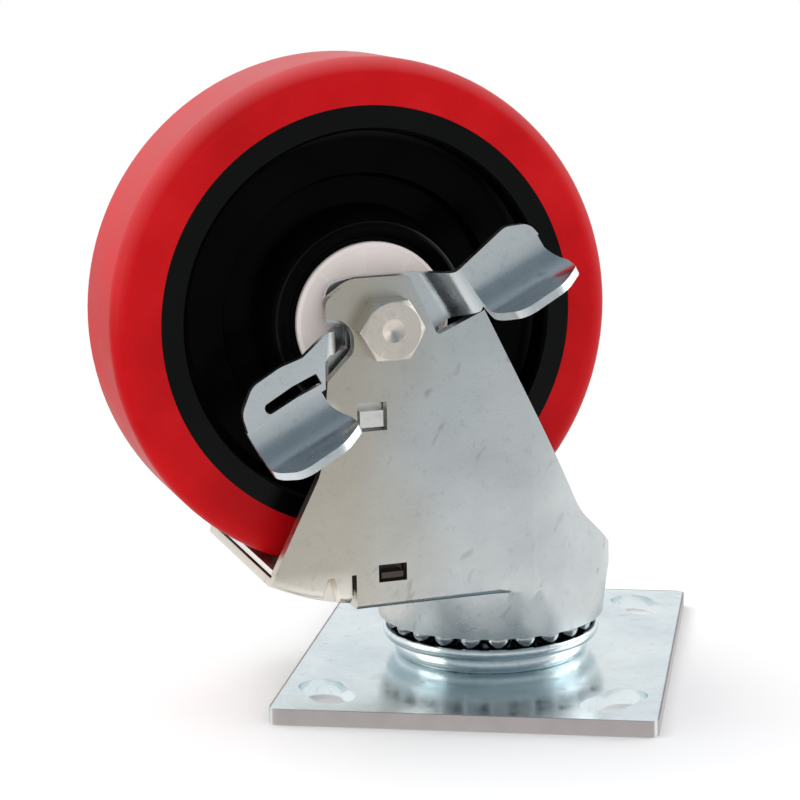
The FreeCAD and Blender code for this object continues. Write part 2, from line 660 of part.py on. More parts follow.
def core_side():
    """Side of the core from its bore out to the tread, as (radius, height)."""
    face = size["core_boss_width"] / 2
    lip = face + size["core_lip_height"]
    boss = size["core_boss_radius"]
    web = size["core_web_thickness"] / 2
    floor = web - size["core_groove_depth"]
    rim = size["core_width"] / 2
    inner = size["core_rim_inner_radius"]
    return [(size["core_bore_radius"], face), (size["guard_radius"] + 1.2, face),
            (size["guard_radius"] + 1.8, lip - 0.5), (size["guard_radius"] + 2.8, lip),
            (boss - 1.8, lip), (boss - 0.7, lip - 0.6), (boss, lip - 2.0), (boss + 1.6, floor + 0.8),
            (boss + 2.4, floor), (inner - 12.0, floor), (inner - 11.2, floor + 0.8),
            (inner - 10.8, web), (inner - 2.2, web), (inner - 0.6, web + 0.8),
            (inner, rim - 0.7), (inner + 0.7, rim), (size["tread_bond_radius"], rim)]


def make_core():
    bond = size["tread_bond_radius"]
    side = core_side()
    outside = list(reversed(lock_outline(bond, bond + size["core_lock_depth"])))
    mirrored = [(radius, -height) for radius, height in reversed(side)]
    return turned_body("wheel_core", AXLE_PLACE, side + outside + mirrored)


def make_guard(label, place):
    face = size["core_boss_width"] / 2
    low = face - size["guard_spigot"]
    high = size["guard_face_width"] / 2
    outer = size["guard_radius"]
    return turned_body(label, place, [
        (size["guard_bore_radius"], low), (size["core_bore_radius"], low), (size["core_bore_radius"], face),
        (outer, face), (outer, high - 0.7), (outer - 0.9, high), (size["guard_bore_radius"], high)])


def make_sleeve():
    return turned_body("bearing_sleeve", AXLE_PLACE, [
        (sleeve_radius, -sleeve_half), (size["core_bore_radius"], -sleeve_half),
        (size["core_bore_radius"], sleeve_half), (sleeve_radius, sleeve_half)])


def make_rollers():
    """Ring of separate rollers between bushing and sleeve, as one group of solids."""
    pitch = (bushing_radius + sleeve_radius) / 2
    count = int(size["roller_count"])
    rollers = []
    for i in range(count):
        angle = 2 * math.pi * i / count
        roller = doc.addObject("Part::Cylinder", "roller_%d" % (i + 1))
        roller.setExpression("Radius", "Sizes.roller_diameter / 2")
        roller.setExpression("Height", "Sizes.roller_length")
        spot = Vector(pitch * math.cos(angle), pitch * math.sin(angle), -size["roller_length"] / 2)
        roller.Placement = AXLE_PLACE.multiply(Placement(spot, Rotation()))
        rollers.append(roller)
    group = doc.addObject("Part::Compound", "bearing_rollers")
    group.Label = "bearing_rollers"
    group.Links = rollers
    return group


# Axle parts that stay with the fork

def make_ring(label, place, inner, outer, low, high):
    return turned_body(label, place, [(inner, low), (outer, low), (outer, high), (inner, high)])


def make_bolt():
    low = -leg_outer - size["nut_height"] - size["bolt_tip"]
    high = leg_outer + size["bolt_head_height"]
    body = hex_piece("axle_bolt", AXLE_PLACE, size["bolt_head_flats"], leg_outer, high, 0,
                     "Sizes.bolt_head_height", dimple=True)
    shank = new_sketch(body, "shank_section", "XZ_Plane")
    add_polygon(shank, [(0, low), (bolt_radius - 0.8, low), (bolt_radius, low + 0.8),
                        (bolt_radius, leg_outer), (0, leg_outer)])
    revolve(body, "shank", shank)
    return body


def make_axle_nut():
    return hex_piece("axle_nut", FAR_PLACE, size["bolt_head_flats"], leg_outer,
                     leg_outer + size["nut_height"], bolt_radius, "Sizes.nut_height")


def make_kingpin_nut():
    return hex_piece("kingpin_nut", PLATE_PLACE, size["kingpin_nut_flats"], washer_high,
                     washer_high + size["kingpin_nut_height"], kingpin_radius, "Sizes.kingpin_nut_height")


# Brake lever and shoe, drawn from the axle with X to the castor's front and Y upwards

def front_prism(label, corners, low, high):
    """Outline seen along the axle, raised from low to high towards the lever side."""
    body = new_body(label, AXLE_PLACE)
    sketch = new_sketch(body, label + "_outline", "XY_Plane", raised(low))
    add_rounded(sketch, corners)
    pad(body, label + "_prism", sketch, high - low)
    return body


def bent_sheet(label, turned, start, height, steps, thickness, width):
    """Bent sheet whose bends run across the direction turned from X in the front view.

    Its middle starts at the given distance along that direction and height along the axle;
    each step is a straight run followed by a turn, in degrees, on the middle's radius.
    """
    place = AXLE_PLACE.multiply(Placement(Vector(0, 0, 0), Rotation(UP, turned)))
    body = new_body(label, place)
    sketch = new_sketch(body, label + "_section", "XZ_Plane", raised(-width / 2))
    half = thickness / 2
    point = Vector(start, height, 0)
    heading = 0.0
    left = []
    right = []

    def side(place_on, direction, sign):
        return Vector(place_on.x - sign * half * math.sin(direction),
                      place_on.y + sign * half * math.cos(direction), 0)

    ends = [side(point, heading, 1), side(point, heading, -1)]
    for run, bend, radius in steps:
        after = point + Vector(math.cos(heading), math.sin(heading), 0) * run
        if run > 0:
            left.append(Part.LineSegment(side(point, heading, 1), side(after, heading, 1)))
            right.append(Part.LineSegment(side(point, heading, -1), side(after, heading, -1)))
        point = after
        if bend:
            signed = math.copysign(radius, bend)
            centre = point + Vector(-math.sin(heading), math.cos(heading), 0) * signed
            track = []
            for share in (0, 0.5, 1):
                angle = heading + math.radians(bend) * share
                spot = centre + Vector(math.sin(angle), -math.cos(angle), 0) * signed
                track.append((spot, angle))
            left.append(Part.Arc(*[side(spot, angle, 1) for spot, angle in track]))
            right.append(Part.Arc(*[side(spot, angle, -1) for spot, angle in track]))
            point, heading = track[2]
    close = [Part.LineSegment(ends[0], ends[1]),
             Part.LineSegment(side(point, heading, 1), side(point, heading, -1))]
    sketch.addGeometry(left + right + close, False)
    pad(body, label + "_sheet", sketch, width)
    return body


def common(label, *shapes):
    feature = doc.addObject("Part::MultiCommon", label)
    feature.Shapes = list(shapes)
    return feature


def joggle(rise, bend, radius, run_in, run_out):
    """Two equal and opposite bends that lift the sheet by a height."""
    slope = math.radians(bend)
    straight = (rise - 2 * radius * (1 - math.cos(slope))) / math.sin(slope)
    return [(run_in, bend, radius), (straight, -bend, radius), (run_out, 0, 0)]


PEDAL_TILT = 27.0


def make_pedal(side, x, y, middle, radius, wall):
    """Scoop of a pedal: a quarter bend and wall, with a rounded lip.

    The bend starts on a line through (x, y) in the front view, turned by the pedals' tilt.
    """
    tilt = math.radians(PEDAL_TILT)
    along = x * math.cos(tilt) + y * math.sin(tilt)
    across = x * math.sin(tilt) - y * math.cos(tilt)
    sheet_bent = bent_sheet(side + "_scoop", PEDAL_TILT - 90.0, across - 0.6, middle,
                            [(0.6, 90.0, radius), (wall, 0, 0)], size["lever_sheet"], 120.0)
    body = new_body(side + "_lip", AXLE_PLACE.multiply(Placement(Vector(0, 0, 0), Rotation(UP, PEDAL_TILT))))
    sketch = new_sketch(body, side + "_lip_outline", "XZ_Plane", raised(-40.0))
    lip = [(-10.6, -4.0, 0), (-10.6, 5.6, 4.0), (-5.8, 15.7, 4.5), (6.6, 14.0, 8.0), (12.9, 7.6, 2.5),
           (12.6, 4.4, 1.5), (9.8, 0.6, 0), (9.8, -4.0, 0)]
    add_rounded(sketch, [(along + reach, pedal_outer + height, bend) for reach, height, bend in lip])
    pad(body, side + "_lip_prism", sketch, 80.0)
    return common(side + "_pedal", sheet_bent, body)


def make_lever():
    sheet_half = size["lever_sheet"] / 2
    middle = (lever_inner + lever_outer) / 2
    pedal_middle = (pedal_inner + pedal_outer) / 2
    rise = pedal_middle - middle
    bend_radius = size["joggle_radius"] + sheet_half
    scoop_radius = size["pedal_scoop_radius"] + sheet_half
    wall = size["pedal_wall"]
    low = lever_inner - 2.0
    high = pedal_outer + scoop_radius + wall + 2.0
    plate = front_prism("lever_plate", [
        (-13.4, 10.4, 3.5), (-6.0, 11.9, 6.0), (10.6, 12.0, 1.0), (16.0, 4.0, 0.5), (14.0, -8.0, 5.0),
        (10.8, -17.4, 4.0), (2.6, -17.6, 4.0), (-4.0, -14.5, 6.0), (-13.0, -14.0, 2.0), (-13.4, -6.0, 0.5),
        (-8.4, -5.6, 0.5), (-8.4, 0.9, 0.5), (-13.4, 1.1, 0.5)], lever_inner, lever_outer)
    # Rear side: a tongue leaves the plate through the leg's rear notch and climbs to the pedal.
    rear_strip = bent_sheet("rear_arm", 180.0, 2.0, middle,
                            joggle(rise, 60.0, bend_radius, 6.8, 26.0), size["lever_sheet"], 80.0)
    rear_outline = front_prism("rear_arm_outline", [
        (-6.0, 0.4, 0), (-15.4, 0.3, 1.5), (-21.8, -5.3, 2.5), (-27.4, -7.2, 8.0), (-34.3, -11.3, 5.0),
        (-37.0, -17.8, 5.0), (-35.4, -23.0, 0), (-16.3, -13.3, 0), (-16.3, -7.0, 0.6), (-15.2, -5.2, 0.8),
        (-6.0, -4.2, 0)], low, high)
    # Front side: the arm climbs out over the leg's upper notch.
    front_strip = bent_sheet("front_arm", 32.0, 2.0, middle, joggle(rise, 58.0, 3.2, 12.4, 34.0),
                             size["lever_sheet"], 80.0)
    front_outline = front_prism("front_arm_outline", [
        (8.0, 11.6, 0), (16.8, 12.3, 3.0), (29.6, 22.7, 4.0), (35.8, 23.2, 4.0), (38.3, 20.45, 0),
        (26.5, 14.4, 0), (24.2, 5.6, 0), (23.4, 2.6, 1.0), (13.6, -1.6, 0.5), (8.0, -1.0, 0)], low, high)
    pieces = [plate, common("rear_arm_cut", rear_strip, rear_outline),
              common("front_arm_cut", front_strip, front_outline),
              make_pedal("rear", -26.2, -18.1, pedal_middle, scoop_radius, wall),
              make_pedal("front", 29.2, 15.8, pedal_middle, scoop_radius, wall)]
    blank = doc.addObject("Part::MultiFuse", "lever_blank")
    blank.Shapes = pieces
    blank.Refine = True
    # Holes: axle, pin and the slit in the rear pedal.
    tools = front_prism("pedal_slit", [
        (-31.8, -16.2, 1.2), (-24.5, -11.9, 4.0), (-18.6, -9.3, 0.3), (-17.2, -11.9, 0.3),
        (-23.3, -14.6, 4.0), (-30.6, -18.6, 1.2)], low, high)
    bores = new_body("lever_bores", AXLE_PLACE)
    sketch = new_sketch(bores, "lever_bore_circles", "XY_Plane", raised(low))
    add_circle(sketch, 0, 0, bolt_bore, "Sizes.bolt_diameter / 2 + Sizes.bolt_clearance")
    add_circle(sketch, size["pin_x"], size["pin_z"], size["pin_radius"], "Sizes.pin_radius")
    pad(bores, "lever_bore_pad", sketch, high - low)
    first = doc.addObject("Part::Cut", "lever_slitted")
    first.Base = blank
    first.Tool = tools
    lever = doc.addObject("Part::Cut", "brake_lever")
    lever.Label = "brake_lever"
    lever.Base = first
    lever.Tool = bores
    return lever


def make_pin():
    place = AXLE_PLACE.multiply(Placement(Vector(size["pin_x"], size["pin_z"], 0), Rotation()))
    low = lever_inner - size["pin_head_height"]
    return turned_body("lever_pin", place, [
        (0, low), (size["pin_head_radius"] - 0.4, low), (size["pin_head_radius"], low + 0.4),
        (size["pin_head_radius"], lever_inner), (size["pin_radius"], lever_inner),
        (size["pin_radius"], arm_high), (0, arm_high)])


def make_shoe():
    body = new_body("brake_shoe", AXLE_PLACE)
    top = size["pin_z"] + size["pin_radius"] + size["pin_clearance"] + 2.2
    inner_edge = arc_points(0, 0, (shoe_inner + shoe_outer) / 2, 262.0, 270 - size["shoe_reach"] + 0.4, 8)
    outline = new_sketch(body, "arm_outline", "XY_Plane", raised(arm_low))
    corners = [(-9.8, -16.0, 2.0), (0.6, -15.0, 4.0), (2.4, top, 2.0), (12.8, top, 2.0),
               (12.8, -18.5, 4.0), (6.0, -29.0, 8.0), (4.8, -46.0, 10.0), (4.8, -64.0, 1.0), (-8.0, -64.4, 0)]
    corners += [(x, z, 0) for x, z in inner_edge]
    corners += [(-23.0, -51.0, 12.0), (-13.6, -33.0, 8.0), (-9.8, -25.0, 4.0)]
    add_rounded(outline, corners)
    pad(body, "arm", outline, size["shoe_sheet"], "Sizes.shoe_sheet")
    band = new_sketch(body, "band_section", "XY_Plane", raised(1.0 - leg_inner))
    add_sector(band, 0, 0, shoe_inner, shoe_outer, 270 - size["shoe_reach"], 261.9)
    pad(body, "band", band, arm_high + leg_inner - 1.0)
    reach = size["tab_clearance"]
    lift = pin_lift + reach
    tabs = new_sketch(body, "tab_outlines", "XY_Plane", raised(arm_low))
    add_tab(tabs, UPPER_HOLE, size["upper_hole_width"], size["upper_hole_height"], reach, lift)
    add_tab(tabs, LOWER_HOLE, size["lower_hole_width"], size["lower_hole_height"], reach, lift)
    pad(body, "tabs", tabs, leg_outer - 0.5 - arm_low)
    slot = new_sketch(body, "pin_slot", "XY_Plane", raised(arm_low))
    radius = size["pin_radius"] + size["pin_clearance"]
    add_slot(slot, size["pin_x"] - 0.1, size["pin_z"], size["pin_x"] + pin_shift + 0.1, size["pin_z"], radius)
    pocket(body, "pin_window", slot, size["shoe_sheet"], back=True)
    return body


def add_tab(sketch, hole, width, height, side, above):
    """Tab that stands in a hole of the leg, clear of its sides, bottom and the lifted top."""
    x, z = hole
    half = width / 2 - side
    low = z - height / 2 + side
    high = z + height / 2 - above
    add_box(sketch, x, (low + high) / 2, 2 * half, high - low)


nodes = [make_plate(), make_lower_race(),
         make_balls("main_balls", size["ball_count"], size["ball_pitch_radius"], ball_height,
                    "Sizes.ball_diameter / 2"),
         make_kingpin(), make_load_washer(), make_kingpin_nut(),
         make_balls("upper_balls", size["small_ball_count"], size["small_pitch_radius"], small_height,
                    "Sizes.small_ball_diameter / 2"),
         make_fork(), make_bolt(), make_axle_nut(),
         make_ring("lever_washer_inner", AXLE_PLACE, bolt_bore, size["washer_radius"], bushing_end,
                   bushing_end + size["inner_washer_thickness"]),
         make_ring("lever_washer_outer", AXLE_PLACE, bolt_bore, size["washer_radius"],
                   leg_inner - size["outer_washer_thickness"], leg_inner),
         make_ring("spacer_collar", FAR_PLACE, bolt_bore, size["collar_radius"], bushing_end, leg_inner),
         make_ring("spanner_bushing", AXLE_PLACE, bolt_bore, bushing_radius, -bushing_end, bushing_end),
         make_tread(), make_core(), make_sleeve(), make_rollers(),
         make_guard("thread_guard_near", AXLE_PLACE), make_guard("thread_guard_far", FAR_PLACE),
         make_lever(), make_pin(), make_shoe()]

doc.recompute()

for item in doc.Objects:
    broken = [state for state in item.State if state in ("Invalid", "Error")]
    if broken:
        raise RuntimeError("%s did not build" % item.Name)

os.makedirs("parts", exist_ok=True)
for node in nodes:
    if node.Shape.isNull() or not node.Shape.isValid() or not node.Shape.Solids:
        raise RuntimeError("%s has no sound solid" % node.Label)
    node.Shape.exportStep("parts/%s.step" % node.Label)
    print(node.Label, len(node.Shape.Solids), round(node.Shape.Volume, 1))
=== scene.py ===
import math

import bpy
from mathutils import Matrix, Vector


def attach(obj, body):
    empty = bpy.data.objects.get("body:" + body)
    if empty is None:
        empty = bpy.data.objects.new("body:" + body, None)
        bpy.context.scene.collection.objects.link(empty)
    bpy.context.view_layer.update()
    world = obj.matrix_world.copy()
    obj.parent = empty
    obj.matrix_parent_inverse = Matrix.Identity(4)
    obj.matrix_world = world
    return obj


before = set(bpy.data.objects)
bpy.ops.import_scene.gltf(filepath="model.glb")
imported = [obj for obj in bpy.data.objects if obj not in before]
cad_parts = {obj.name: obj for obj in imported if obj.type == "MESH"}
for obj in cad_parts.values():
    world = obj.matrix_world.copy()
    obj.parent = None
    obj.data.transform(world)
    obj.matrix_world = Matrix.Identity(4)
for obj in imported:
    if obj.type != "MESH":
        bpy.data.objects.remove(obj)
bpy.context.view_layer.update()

# Swivel castor with a side brake, standing on its mounting plate, in a plain pale studio.
# Blender works in metres; sizes and places are written in millimetres times MM.

MM = 0.001
SWIVEL = math.radians(27.8)
AXLE_BEHIND = 37.0
AXLE = Vector((-AXLE_BEHIND * math.cos(SWIVEL), -AXLE_BEHIND * math.sin(SWIVEL), 96.5)) * MM
# Turn that lays a piece's Z along the axle.
ALONG_AXLE = (math.radians(90), 0, SWIVEL)
PLATE_HALF_SIZES = {"X": 47.625 * MM, "Y": 57.15 * MM}

# Sockets of a Mix node that mixes colours.
MIX_FACTOR, MIX_A, MIX_B, MIX_RESULT = 0, 6, 7, 2


# Material helpers

def srgb(code):
    """sRGB hex colour as linear RGBA."""
    channels = [int(code[i:i + 2], 16) / 255 for i in (0, 2, 4)]
    return [c / 12.92 if c <= 0.04045 else ((c + 0.055) / 1.055) ** 2.4 for c in channels] + [1.0]


def add_node(tree, kind, output=None, inputs=None, stops=None, **settings):
    """Adds a node and gives back one of its outputs, or the node itself.

    Each input is given a value, or the output that feeds it; stops are a ramp's (place, hex) pairs.
    """
    node = tree.nodes.new(kind)
    for name, value in settings.items():
        setattr(node, name, value)
    for name, value in (inputs or {}).items():
        if isinstance(value, bpy.types.NodeSocket):
            tree.links.new(value, node.inputs[name])
        else:
            node.inputs[name].default_value = value
    if stops:
        elements = node.color_ramp.elements
        while len(elements) < len(stops):
            elements.new(1.0)
        for element, (place, code) in zip(elements, stops):
            element.position = place
            element.color = srgb(code)
    return node if output is None else node.outputs[output]


def new_material(name):
    material = bpy.data.materials.new(name)
    material.use_nodes = True
    tree = material.node_tree
    coords = add_node(tree, "ShaderNodeTexCoord", "Object")
    return material, tree, tree.nodes["Principled BSDF"], coords


def axle_distance(tree, coords):
    """Coordinates turned to the axle, and the distance from it."""
    turned = add_node(tree, "ShaderNodeMapping", "Vector",
                      {"Vector": coords, "Location": AXLE, "Rotation": ALONG_AXLE}, vector_type="TEXTURE")
    place = add_node(tree, "ShaderNodeSeparateXYZ", inputs={"Vector": turned})
    flat = add_node(tree, "ShaderNodeCombineXYZ", "Vector", {"X": place.outputs["X"], "Y": place.outputs["Y"]})
    return turned, add_node(tree, "ShaderNodeVectorMath", "Value", {0: flat}, operation="LENGTH")


# Zinc plated and bare steel

def warm_rear(tree, coords, fork_place, colour, tinge):
    """Yellow passivation has run towards the rear edge of the pressing, unevenly by some millimetres."""
    run = add_node(tree, "ShaderNodeTexNoise", "Fac", {"Vector": coords, "Scale": 30.0, "Detail": 3.0})
    edge = add_node(tree, "ShaderNodeMath", "Value", {0: run, 1: 30 * MM, 2: fork_place.outputs["X"]},
                    operation="MULTIPLY_ADD")
    rear = add_node(tree, "ShaderNodeMapRange", "Result",
                    {"Value": edge, "From Min": -32 * MM, "From Max": -6 * MM, "To Min": 1.0, "To Max": 0.0})
    return add_node(tree, "ShaderNodeMix", MIX_RESULT, {MIX_FACTOR: rear, MIX_A: colour, MIX_B: srgb(tinge)},
                    data_type="RGBA")


def painted_cradle_highlight(tree, fork_place, colour):
    """Painted highlight on the cradle's bend below the tread, as if it mirrored the white floor."""
    behind = add_node(tree, "ShaderNodeMapRange", "Result",
                      {"Value": fork_place.outputs["X"], "From Min": -48 * MM, "From Max": -46 * MM,
                       "To Min": 1.0, "To Max": 0.0})
    under = add_node(tree, "ShaderNodeMapRange", "Result",
                     {"Value": fork_place.outputs["Z"], "From Min": 32 * MM, "From Max": 38 * MM,
                      "To Min": 1.0, "To Max": 0.0})
    cradle_highlight = add_node(tree, "ShaderNodeMath", "Value", {0: behind, 1: under}, operation="MULTIPLY")
    return add_node(tree, "ShaderNodeMix", MIX_RESULT,
                    {MIX_FACTOR: cradle_highlight, MIX_A: colour, MIX_B: srgb("F3EDE3")}, data_type="RGBA")


def painted_tab_shade(tree, fork_place, colour):
    """Painted shade on the shoe's low guide tab, just behind the swivel axis, which lies in shadow behind the
    lower window.
    """
    low = add_node(tree, "ShaderNodeMapRange", "Result",
                   {"Value": fork_place.outputs["Z"], "From Min": 46 * MM, "From Max": 50 * MM,
                    "To Min": 1.0, "To Max": 0.0})
    ahead = add_node(tree, "ShaderNodeMapRange", "Result",
                     {"Value": fork_place.outputs["X"], "From Min": -56 * MM, "From Max": -52 * MM})
    both = add_node(tree, "ShaderNodeMath", "Value", {0: low, 1: ahead}, operation="MULTIPLY")
    return add_node(tree, "ShaderNodeMix", MIX_RESULT,
                    {MIX_FACTOR: both, MIX_A: colour, MIX_B: srgb("564E4A")}, data_type="RGBA")


def cut_rim(tree, coords, colour, dull):
    """The plate's sheared rim is greyer and rougher than its faces."""
    place = add_node(tree, "ShaderNodeSeparateXYZ", inputs={"Vector": coords})
    sides = []
    for axis, half in PLATE_HALF_SIZES.items():
        away = add_node(tree, "ShaderNodeMath", "Value", {0: place.outputs[axis]}, operation="ABSOLUTE")
        sides.append(add_node(tree, "ShaderNodeMapRange", "Result",
                              {"Value": away, "From Min": half - 0.6 * MM, "From Max": half - 0.3 * MM}))
    rim = add_node(tree, "ShaderNodeMath", "Value", {0: sides[0], 1: sides[1]}, operation="MAXIMUM")
    colour = add_node(tree, "ShaderNodeMix", MIX_RESULT, {MIX_FACTOR: rim, MIX_A: colour, MIX_B: srgb("B7B0AF")},
                      data_type="RGBA")
    rougher = add_node(tree, "ShaderNodeMath", "Value", {0: rim, 1: 0.3, 2: dull}, operation="MULTIPLY_ADD",
                       use_clamp=True)
    return colour, rougher


def metal_surface(name, shades, rough, dent, marks, tinge=None, shaded_tab=False, sheared=False):
    """Plated or ground steel with slow shade changes, a dull bloom, press marks and fine pits.

    shades are the dark, middle and light tone, rough the mean roughness, dent the depth of its
    slow waves and marks the strength of its scuffs; tinge warms the sheet behind the swivel axis and brings a
    painted highlight on the cradle's bend, and the tab flag paints shade on the brake shoe's low tab.
    """
    material, tree, shader, coords = new_material(name)
    patches = add_node(tree, "ShaderNodeTexNoise", "Fac", {"Vector": coords, "Scale": 42.0, "Detail": 3.0})
    colour = add_node(tree, "ShaderNodeValToRGB", "Color", {"Fac": patches}, list(zip((0.32, 0.5, 0.7), shades)))
    if tinge or shaded_tab:
        along = add_node(tree, "ShaderNodeMapping", "Vector", {"Vector": coords, "Rotation": (0, 0, SWIVEL)},
                         vector_type="TEXTURE")
        fork_place = add_node(tree, "ShaderNodeSeparateXYZ", inputs={"Vector": along})
    if tinge:
        colour = warm_rear(tree, coords, fork_place, colour, tinge)
        # Painted highlight on the cradle's bend below the tread.
        colour = painted_cradle_highlight(tree, fork_place, colour)
    # Painted shade on the brake shoe's low tab.
    if shaded_tab:
        colour = painted_tab_shade(tree, fork_place, colour)

    # Dull bloom in specks a millimetre or two across.
    specks = add_node(tree, "ShaderNodeTexNoise", "Fac",
                      {"Vector": coords, "Scale": 520.0, "Detail": 4.0, "Roughness": 0.65})
    bloom_and_sheen = add_node(tree, "ShaderNodeMapRange", "Result",
                     {"Value": specks, "From Min": 0.56, "From Max": 0.74, "To Max": 0.22})
    colour = add_node(tree, "ShaderNodeMix", MIX_RESULT, {MIX_FACTOR: bloom_and_sheen, MIX_A: colour, MIX_B: srgb("8F9291")},
                      data_type="RGBA")

    # Sparse scuffs, 11 mm long and a third as wide, where the press rubbed the sheet.
    streaks = add_node(tree, "ShaderNodeMapping", "Vector",
                       {"Vector": coords, "Rotation": (0.4, 0.5, 0.3 + SWIVEL),
                        "Scale": (3.5 * MM, 3.5 * MM, 11 * MM)}, vector_type="TEXTURE")
    rubs = add_node(tree, "ShaderNodeTexNoise", "Fac", {"Vector": streaks, "Scale": 1.0, "Detail": 2.0})
    scuff = add_node(tree, "ShaderNodeMapRange", "Result",
                     {"Value": rubs, "From Min": 0.66, "From Max": 0.75, "To Max": marks})
    colour = add_node(tree, "ShaderNodeMix", MIX_RESULT, {MIX_FACTOR: scuff, MIX_A: colour, MIX_B: srgb("7E807C")},
                      data_type="RGBA")

    # Duller clouds about 6 mm across.
    clouds = add_node(tree, "ShaderNodeTexNoise", "Fac",
                      {"Vector": coords, "Scale": 160.0, "Detail": 5.0, "Roughness": 0.6})
    dull = add_node(tree, "ShaderNodeMapRange", "Result",
                    {"Value": clouds, "From Min": 0.3, "From Max": 0.7, "To Min": rough - 0.06,
                     "To Max": rough + 0.07})
    if sheared:
        colour, dull = cut_rim(tree, coords, colour, dull)

    swells = add_node(tree, "ShaderNodeTexNoise", "Fac", {"Vector": coords, "Scale": 60.0, "Detail": 1.0})
    waved = add_node(tree, "ShaderNodeBump", "Normal",
                     {"Height": swells, "Strength": dent, "Distance": 1.2 * MM})
    scuffed = add_node(tree, "ShaderNodeBump", "Normal",
                       {"Height": scuff, "Strength": 0.25, "Distance": 0.2 * MM, "Normal": waved})
    grains = add_node(tree, "ShaderNodeTexNoise", "Fac", {"Vector": coords, "Scale": 1400.0, "Detail": 2.0})
    pitted = add_node(tree, "ShaderNodeBump", "Normal",
                      {"Height": grains, "Strength": 0.10, "Distance": 0.2 * MM, "Normal": scuffed})
    tree.links.new(colour, shader.inputs["Base Color"])
    tree.links.new(dull, shader.inputs["Roughness"])
    tree.links.new(pitted, shader.inputs["Normal"])
    shader.inputs["Metallic"].default_value = 1.0
    return material


# Plastics of the wheel

def cast_tread():
    """Cast polyurethane, satin from its mould, with the fine rings of a lathe and a faint sheen painted on its
    top.
    """
    material, tree, shader, coords = new_material("cast polyurethane red")
    turned, distance = axle_distance(tree, coords)
    cloud = add_node(tree, "ShaderNodeTexNoise", "Fac", {"Vector": coords, "Scale": 45.0, "Detail": 5.0})
    colour = add_node(tree, "ShaderNodeValToRGB", "Color", {"Fac": cloud},
                      [(0.3, "AA070D"), (0.55, "B80B12"), (0.75, "C01218")])

    # Handling dust in specks about a millimetre across.
    specks = add_node(tree, "ShaderNodeTexNoise", "Fac",
                      {"Vector": coords, "Scale": 700.0, "Detail": 5.0, "Roughness": 0.7})
    dust = add_node(tree, "ShaderNodeMapRange", "Result",
                    {"Value": specks, "From Min": 0.58, "From Max": 0.8, "To Max": 0.25})
    colour = add_node(tree, "ShaderNodeMix", MIX_RESULT, {MIX_FACTOR: dust, MIX_A: colour, MIX_B: srgb("C02A2F")},
                      data_type="RGBA")

    # A pale sheen is painted on the rolling surface and fades over the shoulders, most of it on top where the
    # light falls: a painted highlight.
    rolling = add_node(tree, "ShaderNodeMapRange", "Result",
                       {"Value": distance, "From Min": 60.0 * MM, "From Max": 63.4 * MM})
    place = add_node(tree, "ShaderNodeSeparateXYZ", inputs={"Vector": coords})
    top = add_node(tree, "ShaderNodeMapRange", "Result",
                   {"Value": place.outputs["Z"], "From Min": 95 * MM, "From Max": 158 * MM, "To Max": 0.34})
    bloom_and_sheen = add_node(tree, "ShaderNodeMath", "Value", {0: rolling, 1: top}, operation="MULTIPLY")
    colour = add_node(tree, "ShaderNodeMix", MIX_RESULT, {MIX_FACTOR: bloom_and_sheen, MIX_A: colour, MIX_B: srgb("E08A8C")},
                      data_type="RGBA")

    # The lathe's rings run round the tread.
    rings = add_node(tree, "ShaderNodeTexWave", "Fac",
                     {"Vector": turned, "Scale": 260.0, "Distortion": 0.6, "Detail": 1.0},
                     wave_type="BANDS", bands_direction="Z")
    ringed = add_node(tree, "ShaderNodeBump", "Normal", {"Height": rings, "Strength": 0.05, "Distance": 0.2 * MM})
    grains = add_node(tree, "ShaderNodeTexNoise", "Fac", {"Vector": coords, "Scale": 900.0, "Detail": 3.0})
    skin = add_node(tree, "ShaderNodeBump", "Normal",
                    {"Height": grains, "Strength": 0.08, "Distance": 0.2 * MM, "Normal": ringed})
    satin = add_node(tree, "ShaderNodeMapRange", "Result",
                     {"Value": cloud, "From Min": 0.3, "From Max": 0.7, "To Min": 0.3, "To Max": 0.4})
    shine = add_node(tree, "ShaderNodeMapRange", "Result", {"Value": rolling, "To Min": 0.2, "To Max": 0.06})
    tree.links.new(colour, shader.inputs["Base Color"])
    tree.links.new(satin, shader.inputs["Roughness"])
    tree.links.new(skin, shader.inputs["Normal"])
    # The value under the link is what is left where a link can't be kept.
    shader.inputs["Specular IOR Level"].default_value = 0.2
    tree.links.new(shine, shader.inputs["Specular IOR Level"])
    shader.inputs["IOR"].default_value = 1.3
    return material


def moulded(name, low, high, rough, shine, grain):
    """Moulded plastic with slight shade changes and a fine grain."""
    material, tree, shader, coords = new_material(name)
    cloud = add_node(tree, "ShaderNodeTexNoise", "Fac", {"Vector": coords, "Scale": 60.0, "Detail": 4.0})
    colour = add_node(tree, "ShaderNodeValToRGB", "Color", {"Fac": cloud}, [(0.35, low), (0.7, high)])
    grains = add_node(tree, "ShaderNodeTexNoise", "Fac", {"Vector": coords, "Scale": 1100.0, "Detail": 2.0})
    skin = add_node(tree, "ShaderNodeBump", "Normal", {"Height": grains, "Strength": grain, "Distance": 0.2 * MM})
    dull = add_node(tree, "ShaderNodeMapRange", "Result",
                    {"Value": cloud, "From Min": 0.3, "From Max": 0.7, "To Min": rough - 0.05,
                     "To Max": rough + 0.06})
    tree.links.new(colour, shader.inputs["Base Color"])
    tree.links.new(dull, shader.inputs["Roughness"])
    tree.links.new(skin, shader.inputs["Normal"])
    shader.inputs["Specular IOR Level"].default_value = shine
    return material, tree, shader, coords


